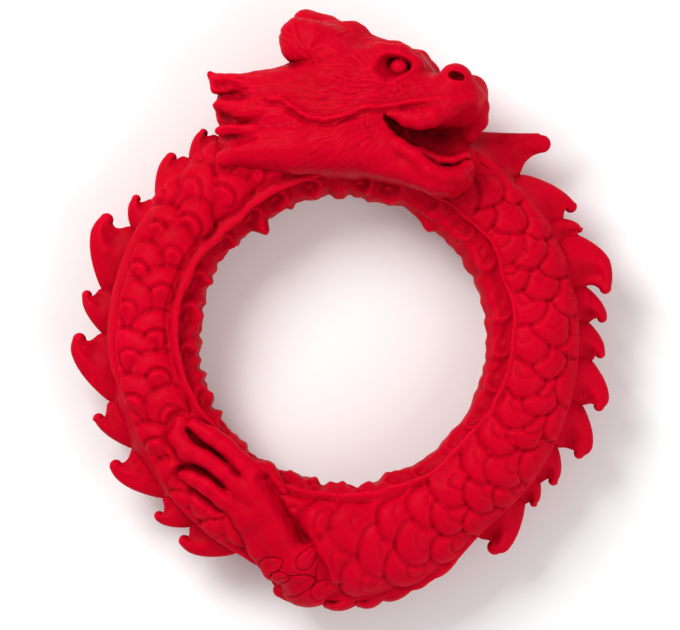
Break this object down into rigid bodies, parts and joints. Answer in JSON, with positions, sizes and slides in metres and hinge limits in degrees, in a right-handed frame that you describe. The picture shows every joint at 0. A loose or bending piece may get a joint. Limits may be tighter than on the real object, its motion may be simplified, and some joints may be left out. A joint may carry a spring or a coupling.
{
  "type": "dragon ring",
  "caption": "Soft one-colour elastomer ring moulded as a curled dragon: scaled round body, belly scutes lining the hole, flame-shaped back fins, clawed legs and an open-mouthed head.",
  "frame": {"origin": "centre of the hole, at the middle of the ring's thickness", "axes": "+Z along the hole's axis, out of the face that shows the near side of the head; +Y from the hole's centre towards the head; +X the way the snout points"},
  "size_m": [0.0732, 0.0807, 0.0215],
  "materials": {
    "silicone": "matte"
  },
  "bodies": {
    "root": {"body_core": "silicone", "belly_band": "silicone", "belly_ridge_front": "silicone", "belly_ridge_back": "silicone", "dorsal_crest": "silicone", "flank_scales_1_front": "silicone", "flank_scales_1_back": "silicone", "flank_scales_2_front": "silicone", "flank_scales_2_back": "silicone", "flank_scales_3_front": "silicone", "flank_scales_3_back": "silicone", "dorsal_fin_01": "silicone", "dorsal_fin_02": "silicone", "dorsal_fin_03": "silicone", "dorsal_fin_04": "silicone", "dorsal_fin_05": "silicone", "dorsal_fin_06": "silicone", "dorsal_fin_07": "silicone", "dorsal_fin_08": "silicone", "dorsal_fin_09": "silicone", "dorsal_fin_10": "silicone", "dorsal_fin_11": "silicone", "dorsal_fin_12": "silicone", "dorsal_fin_13": "silicone", "dorsal_fin_14": "silicone", "dorsal_fin_15": "silicone", "dorsal_fin_16": "silicone", "dorsal_fin_17": "silicone", "dorsal_fin_18": "silicone", "dorsal_fin_19": "silicone", "dorsal_fin_20": "silicone", "dorsal_fin_21": "silicone", "dorsal_fin_22": "silicone", "dorsal_fin_23": "silicone", "dorsal_fin_24": "silicone", "dorsal_fin_25": "silicone", "dorsal_fin_26": "silicone", "dorsal_fin_27": "silicone", "skull": "silicone", "upper_jaw": "silicone", "lower_jaw": "silicone", "tongue": "silicone", "crown_ridge": "silicone", "brows": "silicone", "eyes": "silicone", "nostril_wings": "silicone", "ear_near": "silicone", "ear_far": "silicone", "mane_near": "silicone", "mane_far": "silicone", "cheek_ridge": "silicone", "leg_front": "silicone", "leg_back": "silicone", "toes_front": "silicone", "toes_back": "silicone"}
  },
  "joints": []
}
